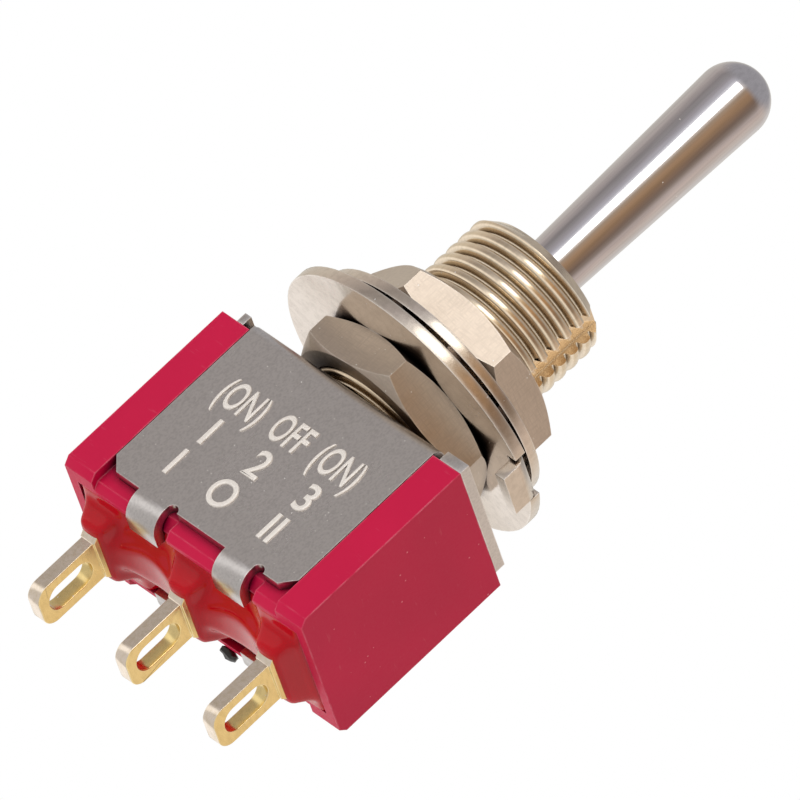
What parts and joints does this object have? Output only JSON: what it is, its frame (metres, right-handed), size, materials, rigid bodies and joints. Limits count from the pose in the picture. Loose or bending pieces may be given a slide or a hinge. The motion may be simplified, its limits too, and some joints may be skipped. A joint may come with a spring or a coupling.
{
  "type": "panel toggle switch",
  "caption": "Sub-miniature changeover toggle switch with a threaded bushing, a bat lever sprung back to the middle, panel hardware and solder lugs.",
  "frame": {"origin": "where the bushing's axis crosses the top face of the metal frame, the face that the heights of bushing and lever are measured from", "axes": "+Z along the bushing and the lever at rest, out of the panel; X along the row of terminals, which is the way the lever tilts, with the bushing's keyway and the locating washer's tab at +X; the front flap with the lettering faces -Y"},
  "size_m": [0.0126, 0.0124, 0.0337],
  "materials": {
    "red_case": "satin moulded thermoset",
    "red_resin": "glossy poured resin",
    "steel_frame": "brushed sheet",
    "nickel_brass": "bright nickel plate on brass",
    "chrome_lever": "chrome plate",
    "gold_plate": "gold plate on brass",
    "silver_contact": "satin silver",
    "copper_strip": "rolled copper alloy",
    "spring_steel": "drawn wire",
    "nylon": "natural nylon"
  },
  "bodies": {
    "housing": {"case": "red_case", "frame": "steel_frame", "terminal_seal": "red_resin", "terminal_left": "gold_plate", "terminal_centre": "gold_plate", "terminal_right": "gold_plate", "fixed_contact_left": "silver_contact", "fixed_contact_right": "silver_contact", "bushing": "nickel_brass", "back_nut": "nickel_brass", "locating_washer": "nickel_brass", "lock_washer": "nickel_brass", "front_nut": "nickel_brass"},
    "lever": {"lever": "chrome_lever", "pivot_pin": "spring_steel", "plunger_spring": "spring_steel"},
    "plunger": {"plunger": "nylon"},
    "rocker": {"rocker": "copper_strip", "rocker_contact_left": "silver_contact", "rocker_contact_right": "silver_contact"}
  },
  "joints": [
    {"name": "lever_tilt", "type": "hinge", "parent": "housing", "child": "lever", "pos_m": [0, 0, 0.00565], "axis": [0, 1, 0], "range_deg": [-12, 12], "stiffness_Nm_per_rad": 0.1},
    {"name": "plunger_slide", "type": "slide", "parent": "lever", "child": "plunger", "axis": [0, 0, 1], "range_m": [0, 0.0005], "stiffness_N_per_m": 400, "springref_m": -0.0005, "deforming": ["plunger_spring"]},
    {"name": "rocker_tilt", "type": "hinge", "parent": "housing", "child": "rocker", "pos_m": [0, 0, -0.00558], "axis": [0, 1, 0], "range_deg": [-6, 6]}
  ],
  "couplings": [
    {"joint": "rocker_tilt", "follows": "lever_tilt", "ratio": -0.5}
  ]
}
